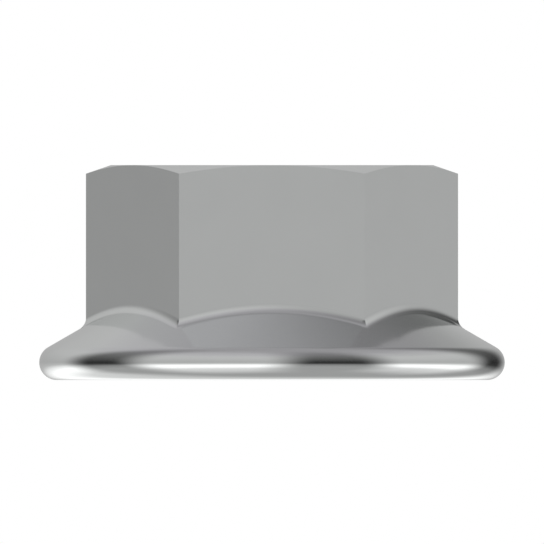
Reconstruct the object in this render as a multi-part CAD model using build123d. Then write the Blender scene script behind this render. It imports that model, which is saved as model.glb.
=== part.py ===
"""Serrated hexagon flange nut with an M12 coarse thread, one piece of steel.

The nut stands on its bearing face, which is the plane z = 0, and its axis is Z. The hexagon is
on top, with two of its corners over the X axis. The hole is the plain hole that is tapped, so
its wall is at the minor diameter, where the crests of the thread are.
"""

from build123d import *

import math
import os

# Driving dimensions, in millimetres and degrees.
THREAD_DIAMETER = 12.0
THREAD_PITCH = 1.75
COUNTERSINK_DIAMETER = 12.6
COUNTERSINK_ANGLE = 90.0

NUT_HEIGHT = 12.0
ACROSS_FLATS = 18.0
TOP_CIRCLE_DIAMETER = 18.0
CHAMFER_ANGLE = 19.0

FLANGE_DIAMETER = 26.0
RIM_RADIUS = 0.95
FLANGE_ANGLE = 30.0
BLEND_RADIUS = 0.55

SERRATION_COUNT = 24
SERRATION_INNER_DIAMETER = 14.4
SERRATION_OUTER_DIAMETER = 23.2
SERRATION_DEPTH = 0.5
SERRATION_LAND_ANGLE = 1.8
SERRATION_FLANK_LEAN = 12.0
SERRATION_END_ANGLE = 40.0

# A side of the hexagon takes a sixth of a turn. Its fillet is made on a slice this much wider.
SIDE_ANGLE = 60.0
SIDE_OVERLAP = 6.0

# How far a cutting shape reaches past the metal that it cuts.
OVERRUN = 1.0

# The basic ISO thread profile puts the minor diameter 1.0825 pitches under the major.
MINOR_DIAMETER = THREAD_DIAMETER - 1.0825 * THREAD_PITCH


def tan(degrees):
    """Tangent of an angle in degrees."""
    return math.tan(math.radians(degrees))


def revolved(points):
    """Turn an outline of (radius, height) points about the nut's axis."""
    outline = [(radius, 0, height) for radius, height in points]
    return revolve(make_face(Polyline(*outline, close=True)), Axis.Z)


def flange():
    """The round flange: flat below, fully rounded at the rim and sloped above."""
    slope = math.radians(FLANGE_ANGLE)
    rim_center = FLANGE_DIAMETER / 2 - RIM_RADIUS
    rim_side = (FLANGE_DIAMETER / 2, 0, RIM_RADIUS)
    rim_top = (rim_center + RIM_RADIUS * math.sin(slope), 0, RIM_RADIUS * (1 + math.cos(slope)))
    inside = ACROSS_FLATS / 2 - BLEND_RADIUS
    height = rim_top[2] + (rim_top[0] - inside) * tan(FLANGE_ANGLE)

    floor = Line((0, 0, 0), (rim_center, 0, 0))
    rim = ThreePointArc(floor @ 1, rim_side, rim_top)
    upper = Polyline(rim_top, (inside, 0, height), (0, 0, height), (0, 0, 0))
    return revolve(make_face([floor, rim, upper]), Axis.Z)


def barrel():
    """Round stock for the hexagon, with its top edge turned to the chamfer."""
    radius = FLANGE_DIAMETER / 2
    top = TOP_CIRCLE_DIAMETER / 2
    shoulder = NUT_HEIGHT - (radius - top) * tan(CHAMFER_ANGLE)
    return revolved([(0, 0), (radius, 0), (radius, shoulder), (top, NUT_HEIGHT), (0, NUT_HEIGHT)])


def slice_of(body, angle):
    """The part of a body that lies in a wedge of this angle about the +X axis."""
    far = FLANGE_DIAMETER
    side = far * tan(angle / 2)
    wedge = make_face(Polyline((0, 0), (far, side), (far, -side), close=True))
    return body & extrude(wedge, NUT_HEIGHT)


def side():
    """One side of the hexagon, with the sixth of the flange in front of it.

    The fillet at the foot of the flat is made on a wider slice, which is then cut back, so the
    fillets of two sides meet in a sharp mitre below the corner between them.
    """
    flat = ACROSS_FLATS / 2
    milled = Pos(flat, 0, 0) * Box(flat, 4 * flat, NUT_HEIGHT, align=(Align.MIN, Align.CENTER, Align.MIN))
    wide = slice_of(flange() + (barrel() - milled), SIDE_ANGLE + SIDE_OVERLAP)
    foot = wide.edges().filter_by(GeomType.HYPERBOLA).sort_by(Axis.Z)[0]
    return slice_of(fillet(foot, BLEND_RADIUS), SIDE_ANGLE)


def hole():
    """The hole to be tapped, with a countersink at each end."""
    wall = MINOR_DIAMETER / 2
    mouth = COUNTERSINK_DIAMETER / 2 + OVERRUN * tan(COUNTERSINK_ANGLE / 2)
    depth = (mouth - wall) / tan(COUNTERSINK_ANGLE / 2) - OVERRUN
    low = [(0, -OVERRUN), (mouth, -OVERRUN), (wall, depth)]
    high = [(wall, NUT_HEIGHT - depth), (mouth, NUT_HEIGHT + OVERRUN), (0, NUT_HEIGHT + OVERRUN)]
    return revolved(low + high)


def groove():
    """One groove of the serration, between two teeth: a steep flank and a long ramp.

    Both are planes through the centre of the bearing face, so the groove gets wider and deeper
    towards the rim, and it runs out in a slope at each end. The flank faces the way the nut
    turns as it comes loose: the teeth slide on their ramps as the nut is tightened, and their
    edges bite when it starts to turn back.
    """
    outer = SERRATION_OUTER_DIAMETER / 2
    width = 360 / SERRATION_COUNT - SERRATION_LAND_ANGLE
    flank = Vector(outer, 0, 0)
    ramp = flank.rotate(Axis.Z, width)
    root = Vector(outer, SERRATION_DEPTH * tan(SERRATION_FLANK_LEAN), SERRATION_DEPTH)

    inner = SERRATION_INNER_DIAMETER / SERRATION_OUTER_DIAMETER
    run_out = SERRATION_DEPTH / tan(SERRATION_END_ANGLE) / outer
    near = [flank * inner, ramp * inner, root * (inner + run_out * inner)]
    far = [flank, ramp, root * (1 - run_out)]
    sides = [[near[i], near[i - 1], far[i - 1], far[i]] for i in range(3)]
    return Solid(Shell([Face(Wire.make_polygon(corners)) for corners in [near, far] + sides]))


def nut():
    """The whole nut: six sides joined, then the hole cut, and the serration cut below."""
    blank = Part() + [place * side() for place in PolarLocations(0, 6, start_angle=SIDE_ANGLE / 2)]
    grooves = [place * groove() for place in PolarLocations(0, SERRATION_COUNT)]
    return blank - hole() - grooves


os.makedirs("parts", exist_ok=True)
export_step(nut(), "parts/flange_nut.step")
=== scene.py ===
"""Serrated hexagon flange nut, M12: the finished piece, its studio and its camera.

The nut is modelled whole, with its thread, and stands for the plain solid of the frame. It stands on its bearing face
at z = 0, with its axis on Z and two corners of the hexagon over the X axis. All lengths are in metres.
"""

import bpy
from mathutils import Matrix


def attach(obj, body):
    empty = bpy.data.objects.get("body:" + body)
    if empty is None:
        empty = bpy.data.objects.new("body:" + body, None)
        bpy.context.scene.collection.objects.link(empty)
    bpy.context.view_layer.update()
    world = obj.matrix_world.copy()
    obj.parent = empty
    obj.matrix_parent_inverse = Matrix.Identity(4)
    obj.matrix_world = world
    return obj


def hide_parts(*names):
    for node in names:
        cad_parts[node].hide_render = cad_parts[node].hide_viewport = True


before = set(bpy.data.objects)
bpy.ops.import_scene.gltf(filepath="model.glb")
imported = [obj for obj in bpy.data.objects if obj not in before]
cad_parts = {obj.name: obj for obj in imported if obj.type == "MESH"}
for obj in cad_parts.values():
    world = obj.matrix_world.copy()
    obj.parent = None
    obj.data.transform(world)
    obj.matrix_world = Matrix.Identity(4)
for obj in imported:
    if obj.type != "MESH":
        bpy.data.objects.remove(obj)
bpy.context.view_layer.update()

import logging
import math
from collections.abc import Callable, Iterator
from contextlib import contextmanager
from dataclasses import dataclass, field
from enum import Enum

import bmesh
import bpy
from mathutils import Vector

log = logging.getLogger("flange_nut")

MM = 0.001
TOUCHING = 1e-7
NUT_HEIGHT = 12.0 * MM
# The rise of a face's normal, from 0 to 1: the most where the face is upright, and the least where it faces up.
UPRIGHT = 0.01
FACING_UP = 0.5
# How far the basic minor diameter of a metric thread lies below its diameter, in pitches.
THREAD_DEPTH = 1.0825


class Cut(Enum):
    """How one solid acts on another."""

    ADD = "UNION"
    TAKE = "DIFFERENCE"


# ---------------------------------------------------------------------------------------------------------------------
# Bench tools: selecting, editing and combining
# ---------------------------------------------------------------------------------------------------------------------


def take_up(piece: bpy.types.Object) -> None:
    """Select one object alone and make it active.

    Args:
        piece: the object to work on.
    """
    bpy.ops.object.select_all(action="DESELECT")
    piece.select_set(True)
    bpy.context.view_layer.objects.active = piece


@contextmanager
def editing(piece: bpy.types.Object, kind: str = "VERT") -> Iterator[None]:
    """Hold one object in edit mode, with nothing selected at first.

    Args:
        piece: the object to edit.
        kind: what is selected, VERT, EDGE or FACE.

    Yields:
        Nothing, while the object is in edit mode.
    """
    take_up(piece)
    bpy.ops.object.mode_set(mode="EDIT")
    bpy.ops.mesh.select_mode(type=kind)
    bpy.ops.mesh.select_all(action="DESELECT")
    yield
    bpy.ops.object.mode_set(mode="OBJECT")


def pick(piece: bpy.types.Object, kind: str, wanted: Callable[..., bool]) -> int:
    """Select the vertices, edges or faces that pass a test, in edit mode.

    Args:
        piece: the object in edit mode.
        kind: verts, edges or faces.
        wanted: the test, given one vertex, edge or face.

    Returns:
        How many were selected.
    """
    shape = bmesh.from_edit_mesh(piece.data)
    for part in (shape.verts, shape.edges, shape.faces):
        for item in part:
            item.select_set(False)
    chosen = [item for item in getattr(shape, kind) if wanted(item)]
    for item in chosen:
        item.select_set(True)
    shape.select_flush_mode()
    bmesh.update_edit_mesh(piece.data)
    return len(chosen)


def at_height(height: float) -> Callable[[bmesh.types.BMVert], bool]:
    """A test for vertices at one height."""
    return lambda vertex: abs(vertex.co.z - height) < TOUCHING


def combine(body: bpy.types.Object, tool: bpy.types.Object, how: Cut) -> None:
    """Add or take away the volume of a tool, which is used up.

    Args:
        body: the solid that is changed.
        tool: the solid that acts on it.
        how: add or take.
    """
    take_up(body)
    step = body.modifiers.new("combine", "BOOLEAN")
    step.operation = how.value
    step.solver = "EXACT"
    step.object = tool
    bpy.ops.object.modifier_apply(modifier=step.name)
    bpy.data.objects.remove(tool)


def settle(piece: bpy.types.Object) -> None:
    """Put the place of an object into its mesh, so that the object stands at the origin.

    Args:
        piece: the object to settle.
    """
    take_up(piece)
    bpy.ops.object.transform_apply(location=True, rotation=True, scale=True)


def outward(piece: bpy.types.Object) -> None:
    """Merge doubled points and turn all faces outward.

    Args:
        piece: the closed solid to mend.
    """
    with editing(piece):
        bpy.ops.mesh.select_all(action="SELECT")
        bpy.ops.mesh.remove_doubles(threshold=TOUCHING)
        bpy.ops.mesh.normals_make_consistent(inside=False)


def copied_round(piece: bpy.types.Object, count: int) -> bpy.types.Object:
    """Copy a piece round the Z axis and join the copies to it.

    Args:
        piece: the first of the ring.
        count: how many the ring has.

    Returns:
        The piece, with the whole ring in it.
    """
    ring = [piece]
    for place in range(1, count):
        copy = piece.copy()
        copy.data = piece.data.copy()
        bpy.context.collection.objects.link(copy)
        copy.rotation_euler.z = math.radians(place * 360 / count)
        settle(copy)
        ring.append(copy)
    take_up(piece)
    for copy in ring:
        copy.select_set(True)
    bpy.ops.object.join()
    return piece


def slope(angle: float) -> float:
    """The rise of a slope for each unit along it, for an angle in degrees."""
    return math.tan(math.radians(angle))


# ---------------------------------------------------------------------------------------------------------------------
# The nut
# ---------------------------------------------------------------------------------------------------------------------


@dataclass
class Flange:
    """The round collar with its rolled rim and sloped upper face."""

    diameter: float = 26.0 * MM
    rim_radius: float = 0.98 * MM
    slope_angle: float = 30.0
    inner_radius: float = 7.0 * MM
    around: int = 240
    rim_steps: int = 72

    @property
    def tube_radius(self) -> float:
        """Radius of the circle that the centre of the rim's rounding runs on."""
        return self.diameter / 2 - self.rim_radius

    def height_at(self, radius: float) -> float:
        """The height of the sloped face, or of its cone carried on.

        Args:
            radius: distance from the axis.

        Returns:
            The height above the bearing face.
        """
        lean = math.radians(self.slope_angle)
        shoulder = self.tube_radius + self.rim_radius * math.sin(lean)
        return self.rim_radius * (1 + math.cos(lean)) + (shoulder - radius) * math.tan(lean)

    def build(self) -> bpy.types.Object:
        """Make the collar as a closed disc from a ring whose inner side is drawn in.

        Returns:
            The collar.
        """
        bpy.ops.mesh.primitive_torus_add(
            major_radius=self.tube_radius,
            minor_radius=self.rim_radius,
            major_segments=self.around,
            minor_segments=self.rim_steps,
            location=(0, 0, self.rim_radius),
        )
        collar = bpy.context.object
        settle(collar)
        top = self.rim_radius * (1 + math.cos(math.radians(self.slope_angle)))
        with editing(collar, "FACE"):
            pick(collar, "faces", self._inside_the_rim)
            bpy.ops.mesh.delete(type="FACE")
        with editing(collar):
            self._draw_in(collar, top, self.height_at(self.inner_radius) - top)
            self._draw_in(collar, 0.0, 0.0)
        outward(collar)
        return collar

    def _inside_the_rim(self, face: bmesh.types.BMFace) -> bool:
        """Whether a face of the ring lies on its inner side, past the floor and past the slope.

        Args:
            face: one face of the ring.

        Returns:
            True on the inner side.
        """
        middle = face.calc_center_median()
        out = math.hypot(middle.x, middle.y) - self.tube_radius
        turn = math.degrees(math.atan2(middle.z - self.rim_radius, out))
        return not -90 < turn < 90 - self.slope_angle

    def _draw_in(self, collar: bpy.types.Object, height: float, rise: float) -> None:
        """Extrude one edge of the rim to the inner radius and close the middle.

        Args:
            collar: the ring in edit mode.
            height: height of the edge.
            rise: how much higher the inner end is.
        """
        pick(collar, "verts", lambda v: at_height(height)(v) and v.is_boundary)
        shape = bmesh.from_edit_mesh(collar.data)
        radius = max(v.co.xy.length for v in shape.verts if v.select)
        share = self.inner_radius / radius
        bpy.ops.mesh.extrude_edges_move(TRANSFORM_OT_translate={"value": (0, 0, rise)})
        bpy.ops.transform.resize(value=(share, share, 1), center_override=(0, 0, height + rise))
        bpy.ops.mesh.edge_face_add()


@dataclass
class Hexagon:
    """The head for the spanner, with its top edge chamfered."""

    sides: int = 6
    across_flats: float = 18.0 * MM
    height: float = NUT_HEIGHT
    foot_height: float = 1.2 * MM
    stock_radius: float = 12.0 * MM
    top_circle: float = 18.0 * MM
    chamfer_angle: float = 19.0
    around: int = 240

    def build(self) -> bpy.types.Object:
        """Make round stock with its chamfer, and mill one flat on it, at the front.

        Returns:
            The stock, from inside the flange to the top.
        """
        top = self.top_circle / 2
        rise = (self.stock_radius - top) * slope(self.chamfer_angle)
        tall = self.height - rise - self.foot_height
        bpy.ops.mesh.primitive_cylinder_add(
            vertices=self.around,
            radius=self.stock_radius,
            depth=tall,
            location=(0, 0, self.foot_height + tall / 2),
        )
        stock = bpy.context.object
        settle(stock)
        with editing(stock, "FACE"):
            pick(stock, "faces", lambda f: f.normal.z > FACING_UP)
            bpy.ops.mesh.extrude_region_move(TRANSFORM_OT_translate={"value": (0, 0, rise)})
            share = top / self.stock_radius
            bpy.ops.transform.resize(value=(share, share, 1), center_override=(0, 0, self.height))
            bpy.ops.mesh.select_all(action="SELECT")
            bpy.ops.mesh.bisect(
                plane_co=(0, -self.across_flats / 2, 0),
                plane_no=(0, -1, 0),
                use_fill=True,
                clear_outer=True,
                threshold=TOUCHING,
            )
        return stock


@dataclass
class Tap:
    """The shape of the hole: a right-hand metric thread with a countersink at each end."""

    diameter: float = 12.0 * MM
    pitch: float = 1.75 * MM
    flank_angle: float = 30.0
    countersink: float = 12.6 * MM
    height: float = NUT_HEIGHT
    overrun: float = 1.0 * MM
    around: int = 120
    turns: int = 10

    @property
    def minor_radius(self) -> float:
        """Radius to the crests of a nut's thread, on the basic ISO profile."""
        return self.diameter / 2 - THREAD_DEPTH * self.pitch / 2

    def build(self) -> bpy.types.Object:
        """Make the threaded shape, longer than the nut at both ends.

        Returns:
            A closed solid.
        """
        tap = self._ridge()
        take_up(tap)
        wind = tap.modifiers.new("wind", "SCREW")
        wind.axis = "Z"
        wind.angle = math.tau
        wind.screw_offset = self.pitch
        wind.iterations = self.turns
        wind.steps = wind.render_steps = self.around
        wind.use_merge_vertices = True
        wind.merge_threshold = TOUCHING
        bpy.ops.object.modifier_apply(modifier=wind.name)
        for height, above in ((self.height + self.overrun, True), (-self.overrun, False)):
            with editing(tap):
                bpy.ops.mesh.select_all(action="SELECT")
                bpy.ops.mesh.remove_doubles(threshold=TOUCHING)
                bpy.ops.mesh.bisect(
                    plane_co=(0, 0, height),
                    plane_no=(0, 0, 1),
                    use_fill=True,
                    clear_outer=above,
                    clear_inner=not above,
                    threshold=TOUCHING,
                )
        outward(tap)
        return tap

    def _ridge(self) -> bpy.types.Object:
        """Make one pitch of the thread's outline, well below the nut.

        Returns:
            A chain of four edges in the XZ plane.
        """
        start = -2 * self.pitch
        rise = (self.diameter / 2 - self.minor_radius) * slope(self.flank_angle)
        corners = [
            (self.minor_radius, self.pitch / 4),
            (self.diameter / 2, self.pitch / 4 + rise),
            (self.diameter / 2, self.pitch - rise),
            (self.minor_radius, self.pitch),
        ]
        bpy.ops.mesh.primitive_plane_add(size=self.pitch, location=(0, 0, 0))
        outline = bpy.context.object
        with editing(outline):
            bpy.ops.mesh.select_all(action="SELECT")
            bpy.ops.mesh.delete(type="ONLY_FACE")
            shape = bmesh.from_edit_mesh(outline.data)
            shape.verts.ensure_lookup_table()
            ring = [shape.verts[i].co.copy() for i in (0, 1, 3, 2)]
            for old, (radius, height) in zip(ring, corners):
                pick(outline, "verts", lambda v: (v.co - old).length < TOUCHING)
                new = Vector((radius, 0, start + height))
                bpy.ops.transform.translate(value=new - old)
            pick(outline, "edges", lambda e: all(abs(v.co.x - self.minor_radius) < TOUCHING for v in e.verts))
            bpy.ops.mesh.delete(type="EDGE")
            pick(outline, "verts", at_height(start + self.pitch / 4))
            bpy.ops.mesh.extrude_vertices_move(TRANSFORM_OT_translate={"value": (0, 0, -self.pitch / 4)})
        settle(outline)
        return outline

    def countersinks(self) -> list[bpy.types.Object]:
        """Make the two cones that open the ends of the hole.

        Returns:
            The lower and the upper cone.
        """
        mouth = self.countersink / 2 + self.overrun
        cones = []
        for height, upside_down in ((mouth / 2 - self.overrun, False), (self.height + self.overrun - mouth / 2, True)):
            bpy.ops.mesh.primitive_cone_add(
                vertices=2 * self.around,
                radius1=mouth,
                radius2=0,
                depth=mouth,
                location=(0, 0, height),
                rotation=(math.pi if upside_down else 0, 0, 0),
            )
            cone = bpy.context.object
            settle(cone)
            cones.append(cone)
        return cones


@dataclass
class Serration:
    """The ring of ratchet teeth in the bearing face."""

    count: int = 24
    inner_diameter: float = 14.4 * MM
    outer_diameter: float = 23.2 * MM
    depth: float = 0.5 * MM
    land_angle: float = 1.8
    flank_lean: float = 12.0
    end_angle: float = 40.0
    overrun: float = 0.3 * MM

    def _corners(self) -> list[Vector]:
        """The six corners of a groove: flank, root and ramp at the inner end, then at the outer.

        Returns:
            The corners in that order.
        """
        outer = self.outer_diameter / 2
        width = math.radians(360 / self.count - self.land_angle)
        flank = Vector((outer, 0, 0))
        ramp = Vector((outer * math.cos(width), outer * math.sin(width), 0))
        root = Vector((outer, self.depth * slope(self.flank_lean), self.depth))
        share = self.inner_diameter / self.outer_diameter
        run_out = self.depth / slope(self.end_angle) / outer
        near = [flank * share, root * share * (1 + run_out), ramp * share]
        far = [flank, root * (1 - run_out), ramp]
        return near + far

    def build(self) -> bpy.types.Object:
        """Make all the grooves as one cutting shape, from a three-sided bar that is copied round.

        Returns:
            The grooves, each a closed solid.
        """
        bpy.ops.mesh.primitive_cylinder_add(vertices=3, radius=self.depth, depth=self.depth)
        groove = bpy.context.object
        settle(groove)
        with editing(groove):
            shape = bmesh.from_edit_mesh(groove.data)
            old = sorted((v.co.copy() for v in shape.verts), key=lambda c: (c.z, -c.y, c.x))
            # The bar's apex becomes the root, and the other two the flank and the ramp.
            low, high = old[:3], old[3:]
            places = [low[1], low[0], low[2], high[1], high[0], high[2]]
            for here, there in zip(places, self._corners()):
                pick(groove, "verts", lambda v: (v.co - here).length < TOUCHING)
                bpy.ops.transform.translate(value=there - here)
        with editing(groove, "FACE"):
            pick(groove, "faces", lambda f: all(abs(v.co.z) < TOUCHING for v in f.verts))
            bpy.ops.mesh.extrude_region_move(TRANSFORM_OT_translate={"value": (0, 0, -self.overrun)})
        outward(groove)
        return copied_round(groove, self.count)


@dataclass
class FlangeNut:
    """The whole nut."""

    flange: Flange = field(default_factory=Flange)
    hexagon: Hexagon = field(default_factory=Hexagon)
    tap: Tap = field(default_factory=Tap)
    serration: Serration = field(default_factory=Serration)
    foot_blend: float = 0.65 * MM
    blend_steps: int = 8
    blend_profile: float = 0.536
    edge_break: float = 0.03 * MM
    break_steps: int = 2
    smooth_angle: float = 14.0

    def build(self) -> bpy.types.Object:
        """Forge the outside, break its edges, then tap the hole and press the teeth.

        Returns:
            The nut as one closed solid.
        """
        nut = self._outside()
        nut.name = "flange_nut_finished"
        self._break_edges(nut)
        combine(nut, self.tap.build(), Cut.TAKE)
        for cone in self.tap.countersinks():
            combine(nut, cone, Cut.TAKE)
        combine(nut, self.serration.build(), Cut.TAKE)
        self._smooth(nut)
        return nut

    def _outside(self) -> bpy.types.Object:
        """Make the outside from one half of one side, mirrored, and copied to the six sides.

        Returns:
            The nut with no hole and no teeth.
        """
        half = self.hexagon.build()
        combine(half, self.flange.build(), Cut.ADD)
        self._blend_foot(half)
        corner = math.radians(-90 + 180 / self.hexagon.sides)
        with editing(half):
            for away in (Vector((-1, 0, 0)), Vector((-math.sin(corner), math.cos(corner), 0))):
                bpy.ops.mesh.select_all(action="SELECT")
                bpy.ops.mesh.bisect(plane_co=(0, 0, 0), plane_no=away, clear_outer=True, threshold=TOUCHING)
            bpy.ops.mesh.select_all(action="SELECT")
            bpy.ops.mesh.duplicate()
            bpy.ops.transform.resize(value=(-1, 1, 1), center_override=(0, 0, 0))
            bpy.ops.mesh.flip_normals()
        copies = copied_round(half, self.hexagon.sides)
        outward(copies)
        return copies

    def _blend_foot(self, blank: bpy.types.Object) -> None:
        """Round the corner where the front flat meets the sloped face.

        Args:
            blank: the round blank with its one flat.
        """

        def at_foot(edge: bmesh.types.BMEdge) -> bool:
            """Whether an edge lies between the flat and the slope.

            Args:
                edge: one edge of the blank.

            Returns:
                True at the foot of the flat.
            """
            if len(edge.link_faces) != 2:
                return False
            lean = sorted(face.normal.z for face in edge.link_faces)
            flat, low = -self.hexagon.across_flats / 2, self.hexagon.height / 2
            on_flat = all(abs(v.co.y - flat) < TOUCHING and v.co.z < low for v in edge.verts)
            return on_flat and abs(lean[0]) < UPRIGHT and lean[1] > FACING_UP

        with editing(blank, "EDGE"):
            found = pick(blank, "edges", at_foot)
            log.info("foot edges: %d", found)
            turn = math.radians(90 - self.flange.slope_angle) / 2
            bpy.ops.mesh.bevel(
                offset_type="OFFSET",
                offset=self.foot_blend * math.tan(turn),
                segments=self.blend_steps,
                profile=self.blend_profile,
                affect="EDGES",
                clamp_overlap=False,
                loop_slide=True,
            )

    def _break_edges(self, nut: bpy.types.Object) -> None:
        """Take the sharpness off the outside edges.

        Args:
            nut: the solid so far.
        """
        take_up(nut)
        step = nut.modifiers.new("edges", "BEVEL")
        step.limit_method = "ANGLE"
        step.angle_limit = math.radians(self.smooth_angle)
        step.width = self.edge_break
        step.segments = self.break_steps
        bpy.ops.object.modifier_apply(modifier=step.name)

    def _smooth(self, nut: bpy.types.Object) -> None:
        """Merge doubles and set smooth shading, with the flat faces kept flat.

        Args:
            nut: the finished solid.
        """
        outward(nut)
        take_up(nut)
        bpy.ops.object.shade_smooth_by_angle(angle=math.radians(self.smooth_angle))
        weigh = nut.modifiers.new("weigh", "WEIGHTED_NORMAL")
        weigh.mode = "FACE_AREA"
        weigh.keep_sharp = True
        bpy.ops.object.modifier_apply(modifier=weigh.name)


# ---------------------------------------------------------------------------------------------------------------------
# Finishes
# ---------------------------------------------------------------------------------------------------------------------

# The values of a noise that count as its low and its high end, as most of it lies near the middle.
NOISE_LOW, NOISE_HIGH = 0.3, 0.7


def wire(tree: bpy.types.NodeTree, kind: str, inputs: dict[int | str, object], **settings: object) -> bpy.types.Node:
    """Add a node, with its settings, its constants and its links.

    Args:
        tree: the node tree.
        kind: the node's type.
        inputs: for each input, a socket to link or a constant.
        settings: properties of the node.

    Returns:
        The node.
    """
    node = tree.nodes.new(kind)
    for name, value in settings.items():
        setattr(node, name, value)
    for name, value in inputs.items():
        if isinstance(value, bpy.types.NodeSocket):
            tree.links.new(value, node.inputs[name])
        else:
            node.inputs[name].default_value = value
    return node


def grey_ramp(
    tree: bpy.types.NodeTree, place: bpy.types.NodeSocket, stops: list[tuple[float, float]]
) -> bpy.types.NodeSocket:
    """Turn a value into a level of grey, by straight lines between stops.

    Args:
        tree: the node tree.
        place: the value, from 0 to 1.
        stops: for each stop its place, from 0 to 1 in rising order, and its level.

    Returns:
        The level as a colour.
    """
    node = wire(tree, "ShaderNodeValToRGB", {"Fac": place})
    ramp = node.color_ramp
    while len(ramp.elements) < len(stops):
        ramp.elements.new(0.5)
    for element, (position, level) in zip(ramp.elements, stops):
        element.position = position
        element.color = (level, level, level, 1)
    return node.outputs["Color"]


def level_part(tree: bpy.types.NodeTree, place: bpy.types.NodeSocket) -> bpy.types.NodeSocket:
    """A place or a direction without its height."""
    return wire(tree, "ShaderNodeVectorMath", {0: place, 1: (1, 1, 0)}, operation="MULTIPLY").outputs[0]


def clear_where(tree: bpy.types.NodeTree, unseen: bpy.types.NodeSocket, shown: bpy.types.NodeSocket) -> None:
    """Finish a material that is clear where a mask is 1.

    Args:
        tree: the material's node tree.
        unseen: the mask.
        shown: the shader where the mask is 0.
    """
    clear = wire(tree, "ShaderNodeBsdfTransparent", {})
    mixed = wire(tree, "ShaderNodeMixShader", {0: unseen, 1: shown, 2: clear.outputs["BSDF"]})
    tree.links.new(mixed.outputs["Shader"], tree.nodes["Material Output"].inputs["Surface"])


def new_group(name: str, inputs: dict[str, tuple[str, object]], outputs: tuple[str, ...]) -> bpy.types.NodeTree:
    """Start a shader node group with named inputs and outputs.

    Args:
        name: the group's name.
        inputs: for each input, its socket type and its default.
        outputs: the names of the outputs, which are all values.

    Returns:
        The group, with its input and output nodes.
    """
    group = bpy.data.node_groups.new(name, "ShaderNodeTree")
    for label, (kind, default) in inputs.items():
        socket = group.interface.new_socket(label, in_out="INPUT", socket_type=kind)
        if default is not None:
            socket.default_value = default
    for label in outputs:
        group.interface.new_socket(label, in_out="OUTPUT", socket_type="NodeSocketFloat")
    group.nodes.new("NodeGroupInput").name = "in"
    group.nodes.new("NodeGroupOutput").name = "out"
    return group


def fine_skin() -> bpy.types.NodeTree:
    """The small unevenness of a formed metal skin, fine and broad.

    Returns:
        A group with inputs Vector, Fine Size and Broad Size and outputs Fine and Broad, from 0 to 1.
    """
    group = new_group(
        "fine_skin",
        {
            "Vector": ("NodeSocketVector", None),
            "Fine Size": ("NodeSocketFloat", 0.12 * MM),
            "Broad Size": ("NodeSocketFloat", 2.5 * MM),
        },
        ("Fine", "Broad"),
    )
    given, out = group.nodes["in"].outputs, group.nodes["out"]
    for size, label, detail in (("Fine Size", "Fine", 3.0), ("Broad Size", "Broad", 2.0)):
        scale = wire(group, "ShaderNodeMath", {0: 1.0, 1: given[size]}, operation="DIVIDE")
        noise = wire(
            group, "ShaderNodeTexNoise", {"Vector": given["Vector"], "Scale": scale.outputs[0], "Detail": detail}
        )
        group.links.new(noise.outputs["Fac"], out.inputs[label])
    return group


def tool_marks() -> bpy.types.NodeTree:
    """The fine rings that a turning or tapping tool leaves about the Z axis, uneven in depth.

    Returns:
        A group with inputs Vector, Pitch and Climb and outputs Height and Polish, from 0 to 1.
    """
    group = new_group(
        "tool_marks",
        {
            "Vector": ("NodeSocketVector", None),
            "Pitch": ("NodeSocketFloat", 0.1 * MM),
            "Climb": ("NodeSocketFloat", 0.45),
        },
        ("Height", "Polish"),
    )
    given, out = group.nodes["in"].outputs, group.nodes["out"]
    radius = wire(group, "ShaderNodeVectorMath", {0: level_part(group, given["Vector"])}, operation="LENGTH")
    parts = wire(group, "ShaderNodeSeparateXYZ", {0: given["Vector"]})
    # Height counts for less than radius, by the climb, so that no cone at 45 degrees is without rings.
    along = wire(
        group,
        "ShaderNodeMath",
        {0: parts.outputs["Z"], 1: given["Climb"], 2: radius.outputs["Value"]},
        operation="MULTIPLY_ADD",
    )
    rings = wire(group, "ShaderNodeMath", {0: along.outputs[0], 1: given["Pitch"]}, operation="DIVIDE")
    depth = wire(
        group, "ShaderNodeTexNoise", {"W": rings.outputs[0], "Scale": 0.9, "Detail": 4.0}, noise_dimensions="1D"
    )
    turn = wire(group, "ShaderNodeMath", {0: rings.outputs[0], 1: math.tau}, operation="MULTIPLY")
    wave = wire(group, "ShaderNodeMath", {0: turn.outputs[0]}, operation="SINE")
    half = wire(group, "ShaderNodeMath", {0: wave.outputs[0], 1: 0.5, 2: 0.5}, operation="MULTIPLY_ADD")
    height = wire(group, "ShaderNodeMath", {0: half.outputs[0], 1: depth.outputs["Fac"]}, operation="MULTIPLY")
    group.links.new(height.outputs[0], out.inputs["Height"])
    group.links.new(depth.outputs["Fac"], out.inputs["Polish"])
    return group


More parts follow.
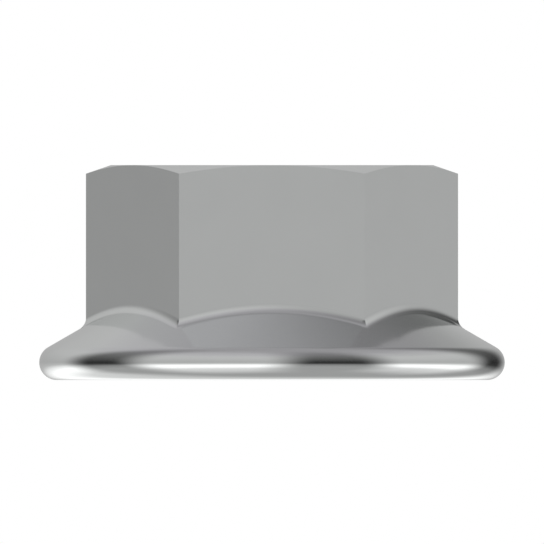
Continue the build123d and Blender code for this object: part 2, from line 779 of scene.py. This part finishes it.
def corner_wear() -> bpy.types.NodeTree:
    """Where the corners of a hexagon about the Z axis are rubbed bright, broken up by small nicks.

    Returns:
        A group with inputs Vector, Corner Radius, Width, Foot, Nick Size, Sparse and Full and output Mask, from 0
        to 1. Sparse and Full are the values of the nicks' noise between which the wear comes in.
    """
    group = new_group(
        "corner_wear",
        {
            "Vector": ("NodeSocketVector", None),
            "Corner Radius": ("NodeSocketFloat", 10 * MM),
            "Width": ("NodeSocketFloat", 0.1 * MM),
            "Foot": ("NodeSocketFloat", 4.0 * MM),
            "Nick Size": ("NodeSocketFloat", 0.7 * MM),
            "Sparse": ("NodeSocketFloat", 0.35),
            "Full": ("NodeSocketFloat", 0.6),
        },
        ("Mask",),
    )
    given, out = group.nodes["in"].outputs, group.nodes["out"]
    radius = wire(group, "ShaderNodeVectorMath", {0: level_part(group, given["Vector"])}, operation="LENGTH")
    gap = wire(group, "ShaderNodeMath", {0: given["Corner Radius"], 1: radius.outputs["Value"]}, operation="SUBTRACT")
    near = wire(
        group,
        "ShaderNodeMapRange",
        {"Value": gap.outputs[0], "From Min": given["Width"], "From Max": 0.0},
        interpolation_type="SMOOTHSTEP",
    )
    parts = wire(group, "ShaderNodeSeparateXYZ", {0: given["Vector"]})
    head = wire(group, "ShaderNodeMath", {0: parts.outputs["Z"], 1: given["Foot"]}, operation="GREATER_THAN")
    scale = wire(group, "ShaderNodeMath", {0: 1.0, 1: given["Nick Size"]}, operation="DIVIDE")
    nicks = wire(
        group, "ShaderNodeTexNoise", {"Vector": given["Vector"], "Scale": scale.outputs[0], "Detail": 3.0}
    )
    broken = wire(
        group,
        "ShaderNodeMapRange",
        {"Value": nicks.outputs["Fac"], "From Min": given["Sparse"], "From Max": given["Full"]},
    )
    corner = wire(group, "ShaderNodeMath", {0: near.outputs[0], 1: head.outputs[0]}, operation="MULTIPLY")
    mask = wire(group, "ShaderNodeMath", {0: corner.outputs[0], 1: broken.outputs[0]}, operation="MULTIPLY")
    group.links.new(mask.outputs[0], out.inputs["Mask"])
    return group


class Zone(Enum):
    """The parts of the nut that have a finish of their own."""

    SKIN = 0
    TOP = 1
    BEARING = 2
    HOLE = 3


@dataclass(frozen=True)
class SteelFinish:
    """Bright steel: how light, how smooth and how marked one zone of the nut is.

    The relief is the height of the tool marks, where there are any, and otherwise of the skin's unevenness.
    """

    name: str
    dark: tuple[float, float, float]
    light: tuple[float, float, float]
    roughness: tuple[float, float]
    relief: float
    marks_pitch: float | None = None
    worn_corner_radius: float | None = None
    edge_tint: tuple[float, float, float] = (0.9, 0.9, 0.9)

    def make(self, groups: dict[str, bpy.types.NodeTree]) -> bpy.types.Material:
        """Make the material.

        Args:
            groups: the shared node groups by name.

        Returns:
            The material.
        """
        finish = bpy.data.materials.new(self.name)
        finish.use_nodes = True
        tree = finish.node_tree
        shader = tree.nodes["Principled BSDF"]
        place = wire(tree, "ShaderNodeTexCoord", {}).outputs["Object"]
        skin = self._lay(tree, groups["fine_skin"], place)
        shade, height = skin.outputs["Broad"], skin.outputs["Fine"]
        if self.marks_pitch is not None:
            marks = self._lay(tree, groups["tool_marks"], place)
            marks.inputs["Pitch"].default_value = self.marks_pitch
            shade, height = marks.outputs["Polish"], marks.outputs["Height"]
        if self.worn_corner_radius is not None:
            wear = self._lay(tree, groups["corner_wear"], place)
            wear.inputs["Corner Radius"].default_value = self.worn_corner_radius
            shade = wire(tree, "ShaderNodeMath", {0: shade, 1: wear.outputs["Mask"]}, operation="MAXIMUM").outputs[0]
        tone = wire(
            tree, "ShaderNodeMix", {0: shade, 6: (*self.dark, 1), 7: (*self.light, 1)}, data_type="RGBA"
        )
        smooth, dull = self.roughness
        spread = wire(
            tree,
            "ShaderNodeMapRange",
            {
                "Value": skin.outputs["Fine"],
                "From Min": NOISE_LOW,
                "From Max": NOISE_HIGH,
                "To Min": smooth,
                "To Max": dull,
            },
        )
        bump = wire(tree, "ShaderNodeBump", {"Height": height, "Distance": self.relief, "Strength": 1.0})
        tree.links.new(tone.outputs[2], shader.inputs["Base Color"])
        tree.links.new(spread.outputs["Result"], shader.inputs["Roughness"])
        tree.links.new(bump.outputs["Normal"], shader.inputs["Normal"])
        shader.inputs["Metallic"].default_value = 1
        shader.inputs["Specular Tint"].default_value = (*self.edge_tint, 1)
        return finish

    def _lay(
        self, tree: bpy.types.NodeTree, group: bpy.types.NodeTree, place: bpy.types.NodeSocket
    ) -> bpy.types.Node:
        """Put a shared group in the material.

        Args:
            tree: the material's node tree.
            group: the shared group.
            place: the place on the object.

        Returns:
            The group's node.
        """
        node = wire(tree, "ShaderNodeGroup", {}, node_tree=group)
        tree.links.new(place, node.inputs["Vector"])
        return node


@dataclass
class NutFinish:
    """The finishes of the nut, zone by zone."""

    skin: SteelFinish = SteelFinish(
        "bright_skin",
        dark=(0.845, 0.86, 0.853),
        light=(0.875, 0.89, 0.883),
        roughness=(0.085, 0.115),
        relief=0.0002 * MM,
        worn_corner_radius=10.39 * MM,
    )
    top: SteelFinish = SteelFinish(
        "faced_top",
        dark=(0.74, 0.75, 0.745),
        light=(0.9, 0.91, 0.905),
        roughness=(0.14, 0.24),
        relief=0.003 * MM,
        marks_pitch=0.14 * MM,
    )
    bearing: SteelFinish = SteelFinish(
        "pressed_bearing_face",
        dark=(0.62, 0.63, 0.625),
        light=(0.74, 0.75, 0.745),
        roughness=(0.13, 0.2),
        relief=0.0004 * MM,
    )
    hole: SteelFinish = SteelFinish(
        "cut_thread",
        dark=(0.56, 0.565, 0.56),
        light=(0.76, 0.765, 0.76),
        roughness=(0.15, 0.24),
        relief=0.0006 * MM,
        marks_pitch=0.07 * MM,
    )
    margin: float = 0.02 * MM

    def dress(self, nut: bpy.types.Object, sizes: FlangeNut) -> None:
        """Give each zone of the nut its finish.

        Args:
            nut: the finished nut.
            sizes: the sizes it was made to.
        """
        groups = {make.__name__: make() for make in (fine_skin, tool_marks, corner_wear)}
        nut.data.materials.clear()
        for finish in (self.skin, self.top, self.bearing, self.hole):
            nut.data.materials.append(finish.make(groups))
        with editing(nut, "FACE"):
            for zone in Zone:
                found = pick(nut, "faces", lambda face: self._zone_of(face, sizes) is zone)
                nut.active_material_index = zone.value
                bpy.ops.object.material_slot_assign()
                log.info("%s: %d faces", zone.name.lower(), found)

    def _zone_of(self, face: bmesh.types.BMFace, sizes: FlangeNut) -> Zone:
        """The zone that a face belongs to.

        Args:
            face: one face of the nut.
            sizes: the sizes of the nut.

        Returns:
            Its zone.
        """
        widest = max(vertex.co.xy.length for vertex in face.verts)
        heights = [vertex.co.z for vertex in face.verts]
        if widest < sizes.tap.countersink / 2 + self.margin:
            return Zone.HOLE
        if min(heights) > sizes.hexagon.height - TOUCHING:
            return Zone.TOP
        if widest < sizes.flange.tube_radius + self.margin and max(heights) < sizes.serration.depth + self.margin:
            return Zone.BEARING
        return Zone.SKIN


# ---------------------------------------------------------------------------------------------------------------------
# Studio
# ---------------------------------------------------------------------------------------------------------------------


@dataclass(frozen=True)
class Wall:
    """How light a side of the room is, above and below the horizon. A stop is an elevation in degrees and a level."""

    above: tuple[tuple[float, float], ...]
    below: tuple[tuple[float, float], ...]

    def ramp(
        self, tree: bpy.types.NodeTree, rise: bpy.types.NodeSocket, squeeze: tuple[float, float]
    ) -> bpy.types.NodeSocket:
        """The level at a height.

        Args:
            tree: the world's node tree.
            rise: elevation in radians.
            squeeze: how many times nearer the horizon the levels lie than they are written, above it and below it.

        Returns:
            The level as a colour.
        """
        height: bpy.types.NodeSocket | float = 0.5
        for side, times in zip(("MAXIMUM", "MINIMUM"), squeeze):
            part = wire(tree, "ShaderNodeMath", {0: rise, 1: 0.0}, operation=side)
            height = wire(
                tree, "ShaderNodeMath", {0: part.outputs[0], 1: times / math.pi, 2: height}, operation="MULTIPLY_ADD"
            ).outputs[0]
        stops = sorted(self.above + self.below)
        return grey_ramp(tree, height, [(0.5 + elevation / 180, level) for elevation, level in stops])


@dataclass(frozen=True)
class SoftBox:
    """A wide lit panel that stands at one side of the room, narrower below than above.

    All angles are in degrees. A bearing of 0 is in front of the nut, and 90 is to its right.
    """

    bearing: float
    half_width: float
    squeeze: tuple[float, float] = (1.0, 1.0)
    taper: float = 0.0
    soft_edge: float = 13.0

    def mask(
        self, tree: bpy.types.NodeTree, level: bpy.types.NodeSocket, drop: bpy.types.NodeSocket | float
    ) -> bpy.types.NodeSocket:
        """Where the panel is seen, from 0 beside it to 1 on it. Its edges are softer high up and low down.

        Args:
            tree: the node tree.
            level: the direction looked in, without its height.
            drop: 0 at the level of the nut, to 1 where the panel is narrowest.

        Returns:
            The mask.
        """
        turn = math.radians(self.bearing)
        unit = wire(tree, "ShaderNodeVectorMath", {0: level}, operation="NORMALIZE")
        length = wire(tree, "ShaderNodeVectorMath", {0: level}, operation="LENGTH")
        towards = (math.sin(turn), -math.cos(turn), 0)
        across = wire(tree, "ShaderNodeVectorMath", {0: unit.outputs[0], 1: towards}, operation="DOT_PRODUCT")
        away = wire(tree, "ShaderNodeMath", {0: across.outputs["Value"]}, operation="ARCCOSINE")
        edge = wire(
            tree,
            "ShaderNodeMath",
            {0: drop, 1: math.radians(-self.taper), 2: math.radians(self.half_width)},
            operation="MULTIPLY_ADD",
        )
        inside = wire(tree, "ShaderNodeMath", {0: edge.outputs[0], 1: away.outputs[0]}, operation="SUBTRACT")
        near = wire(
            tree, "ShaderNodeMath", {0: inside.outputs[0], 1: length.outputs["Value"]}, operation="MULTIPLY"
        )
        soft = math.radians(self.soft_edge)
        fade = wire(
            tree,
            "ShaderNodeMapRange",
            {"Value": near.outputs[0], "From Min": -soft, "From Max": soft},
            interpolation_type="SMOOTHSTEP",
        )
        return fade.outputs["Result"]


@dataclass
class Gauze:
    """A ring of thin gauze round the nut, just above its rim, that only reflections see, and only from above.

    It softens what the flats reflect of the lower half of the room: it holds some of that back, and gives a little even
    light of its own. Each stop is a distance from the axis, the share let through there, and the light given.
    """

    height: float = 1.2 * MM
    stops: tuple[tuple[float, float, float], ...] = (
        (14 * MM, 1.0, 0.0),
        (20 * MM, 0.42, 0.2),
        (50 * MM, 0.42, 0.2),
        (80 * MM, 0.42, 0.27),
    )
    gap: SoftBox = SoftBox(238.0, 15.0, soft_edge=7.0)
    gap_from: tuple[float, float] = (60 * MM, 90 * MM)
    around: int = 128

    def spread(self, outer: float) -> bpy.types.Object:
        """Make the ring, from its first stop outward.

        Args:
            outer: its outer radius.

        Returns:
            The ring, facing up.
        """
        inner = self.stops[0][0]
        bpy.ops.mesh.primitive_circle_add(vertices=self.around, radius=inner, location=(0, 0, 0))
        ring = bpy.context.object
        ring.name = "gauze"
        with editing(ring):
            bpy.ops.mesh.select_all(action="SELECT")
            bpy.ops.transform.translate(value=(0, 0, self.height))
            bpy.ops.mesh.extrude_edges_move()
            bpy.ops.transform.resize(value=(outer / inner, outer / inner, 1), center_override=(0, 0, 0))
            bpy.ops.mesh.select_all(action="SELECT")
            bpy.ops.mesh.flip_normals()
        ring.visible_camera = ring.visible_diffuse = ring.visible_shadow = False
        ring.visible_transmission = ring.visible_volume_scatter = False
        ring.data.materials.append(self._weave())
        return ring

    def _weave(self) -> bpy.types.Material:
        """Make the gauze's material, clear from below.

        Returns:
            The material.
        """
        finish = bpy.data.materials.new("gauze")
        finish.use_nodes = True
        finish.cycles.emission_sampling = "NONE"
        tree = finish.node_tree
        tree.nodes.remove(tree.nodes["Principled BSDF"])
        place = wire(tree, "ShaderNodeTexCoord", {}).outputs["Object"]
        radius = wire(tree, "ShaderNodeVectorMath", {0: place}, operation="LENGTH")
        far = self.stops[-1][0]
        share = wire(tree, "ShaderNodeMapRange", {"Value": radius.outputs["Value"], "From Max": far})
        cut = self._in_gap(tree, place, radius.outputs["Value"])
        levels = []
        # The gap lets all light through and gives none.
        for column, gap_level in ((1, 1.0), (2, 0.0)):
            stops = [(stop[0] / far, stop[column]) for stop in self.stops]
            woven = grey_ramp(tree, share.outputs["Result"], stops)
            level = wire(tree, "ShaderNodeMix", {0: cut, 6: woven, 7: (*[gap_level] * 3, 1)}, data_type="RGBA")
            levels.append(level.outputs[2])
        thin = wire(tree, "ShaderNodeBsdfTransparent", {"Color": levels[0]})
        given = wire(tree, "ShaderNodeEmission", {"Color": levels[1], "Strength": 1.0})
        above = wire(tree, "ShaderNodeAddShader", {0: thin.outputs["BSDF"], 1: given.outputs["Emission"]})
        below = wire(tree, "ShaderNodeNewGeometry", {}).outputs["Backfacing"]
        clear_where(tree, below, above.outputs["Shader"])
        return finish

    def _in_gap(
        self, tree: bpy.types.NodeTree, place: bpy.types.NodeSocket, radius: bpy.types.NodeSocket
    ) -> bpy.types.NodeSocket:
        """Where the gap is, far out at one bearing.

        Args:
            tree: the material's node tree.
            place: the place on the gauze.
            radius: how far that is from the axis.

        Returns:
            The mask, 1 in the gap.
        """
        unit = wire(tree, "ShaderNodeVectorMath", {0: level_part(tree, place)}, operation="NORMALIZE")
        at_bearing = self.gap.mask(tree, unit.outputs[0], 0.0)
        near, away = self.gap_from
        outside = wire(tree, "ShaderNodeMapRange", {"Value": radius, "From Min": near, "From Max": away})
        both = wire(tree, "ShaderNodeMath", {0: at_bearing, 1: outside.outputs["Result"]}, operation="MULTIPLY")
        return both.outputs[0]


@dataclass
class Studio:
    """Pale floor, soft light and the camera at the height of the nut.

    Heights in the room are given as the sine of the elevation: high_from is where the tint of the ceiling comes in, and
    narrow_at is where the soft boxes are narrowest.
    """

    floor_size: float = 4.0
    floor_drop: float = 0.01 * MM
    floor_grey: float = 0.9
    floor_roughness: float = 0.8
    gauze: Gauze = field(default_factory=Gauze)
    high_tint: tuple[float, float, float] = (1.0, 0.98, 1.02)
    high_from: tuple[float, float] = (0.5, 0.8)
    narrow_at: float = -0.42
    boxes: tuple[SoftBox, ...] = (
        SoftBox(-33.2, 42.0, squeeze=(1.0, 0.95), taper=6.0),
        SoftBox(92.4, 36.1, squeeze=(1.25, 1.2), taper=6.0),
        SoftBox(202.5, 40.7, squeeze=(1.1, 1.0)),
    )
    lit_wall: Wall = Wall(
        ((90, 0.335), (70, 0.385), (58, 0.455), (45, 0.5), (37, 0.54), (24, 0.53), (0, 0.459)),
        ((-6, 0.56), (-12, 0.95), (-20, 1.35), (-29, 1.15), (-38, 0.78), (-55, 0.645), (-75, 0.39), (-90, 0.37)),
    )
    dim_wall: Wall = Wall(
        ((90, 0.335), (75, 0.31), (60, 0.235), (45, 0.19), (20, 0.094), (2, 0.029)),
        ((-0.5, 0.027), (-6, 0.04), (-10, 0.12), (-15, 0.255), (-28, 0.365), (-90, 0.37)),
    )
    view_width: float = 0.030383
    view_height: float = 0.00603
    distance: float = 0.2
    clip: tuple[float, float] = (0.001, 10.0)

    def lay(self) -> None:
        """Lay the floor just under the nut, and spread the gauze over it."""
        floor, gauze = self._floor(), self.gauze.spread(self.floor_size / 2)
        for stage in (floor, gauze):
            log.info("%s: %d faces", stage.name, len(stage.data.polygons))

    def _floor(self) -> bpy.types.Object:
        """Make the floor. It is clear from below, and reflections see the room through it.

        Returns:
            The floor.
        """
        bpy.ops.mesh.primitive_plane_add(size=self.floor_size, location=(0, 0, 0))
        ground = bpy.context.object
        ground.name = "floor"
        with editing(ground):
            bpy.ops.mesh.select_all(action="SELECT")
            bpy.ops.transform.translate(value=(0, 0, -self.floor_drop))
        finish = bpy.data.materials.new("pale_floor")
        finish.use_nodes = True
        tree = finish.node_tree
        shader = tree.nodes["Principled BSDF"]
        shader.inputs["Base Color"].default_value = (self.floor_grey, self.floor_grey, self.floor_grey, 1)
        shader.inputs["Roughness"].default_value = self.floor_roughness
        reflected = wire(tree, "ShaderNodeLightPath", {}).outputs["Is Glossy Ray"]
        below = wire(tree, "ShaderNodeNewGeometry", {}).outputs["Backfacing"]
        unseen = wire(tree, "ShaderNodeMath", {0: reflected, 1: below}, operation="MAXIMUM")
        clear_where(tree, unseen.outputs[0], shader.outputs["BSDF"])
        ground.data.materials.append(finish)
        return ground

    def light(self) -> None:
        """Light the nut evenly from all round. The steel reflects three soft boxes and the dim gaps between them."""
        world = bpy.data.worlds.new("studio")
        bpy.context.scene.world = world
        world.use_nodes = True
        tree = world.node_tree
        room = self._room(tree)
        reflected = wire(tree, "ShaderNodeLightPath", {}).outputs["Is Glossy Ray"]
        seen = wire(tree, "ShaderNodeMix", {0: reflected, 6: (1, 1, 1, 1), 7: room}, data_type="RGBA")
        tree.links.new(seen.outputs[2], tree.nodes["Background"].inputs["Color"])

    def _room(self, tree: bpy.types.NodeTree) -> bpy.types.NodeSocket:
        """Make the room that reflections see: dim walls, with the soft boxes before them.

        Args:
            tree: the world's node tree.

        Returns:
            The colour of the room in the direction looked in.
        """
        direction = wire(tree, "ShaderNodeTexCoord", {}).outputs["Generated"]
        parts = wire(tree, "ShaderNodeSeparateXYZ", {0: direction})
        level = level_part(tree, direction)
        rise = wire(tree, "ShaderNodeMath", {0: parts.outputs["Z"]}, operation="ARCSINE")
        drop = wire(
            tree, "ShaderNodeMapRange", {"Value": parts.outputs["Z"], "From Min": 0.0, "From Max": self.narrow_at}
        )
        room = self.dim_wall.ramp(tree, rise.outputs[0], (1.0, 1.0))
        for box in self.boxes:
            mask = box.mask(tree, level, drop.outputs["Result"])
            lit = self.lit_wall.ramp(tree, rise.outputs[0], box.squeeze)
            room = wire(tree, "ShaderNodeMix", {0: mask, 6: room, 7: lit}, data_type="RGBA").outputs[2]
        low, full = self.high_from
        high = wire(tree, "ShaderNodeMapRange", {"Value": parts.outputs["Z"], "From Min": low, "From Max": full})
        tinted = wire(
            tree,
            "ShaderNodeMix",
            {0: high.outputs["Result"], 6: room, 7: (*self.high_tint, 1)},
            data_type="RGBA",
            blend_type="MULTIPLY",
        )
        return tinted.outputs[2]

    def camera(self) -> None:
        """Place the camera level with the nut, looking along +Y."""
        lens = bpy.data.cameras.new("camera")
        lens.type = "ORTHO"
        lens.ortho_scale = self.view_width
        lens.clip_start, lens.clip_end = self.clip
        eye = bpy.data.objects.new("camera", lens)
        eye.location = (0, -self.distance, self.view_height)
        eye.rotation_euler = (math.radians(90), 0, 0)
        bpy.context.scene.collection.objects.link(eye)
        bpy.context.scene.camera = eye
        bpy.context.scene.view_settings.view_transform = "Standard"


def main() -> None:
    """Build the nut, dress it, and set the studio."""
    sizes = FlangeNut()
    nut = sizes.build()
    NutFinish().dress(nut, sizes)
    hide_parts("flange_nut")
    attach(nut, "root")
    log.info("nut: %d faces", len(nut.data.polygons))
    studio = Studio()
    studio.lay()
    studio.light()
    studio.camera()


if __name__ == "__main__":
    logging.basicConfig(level=logging.INFO, format="%(name)s: %(message)s")
    main()
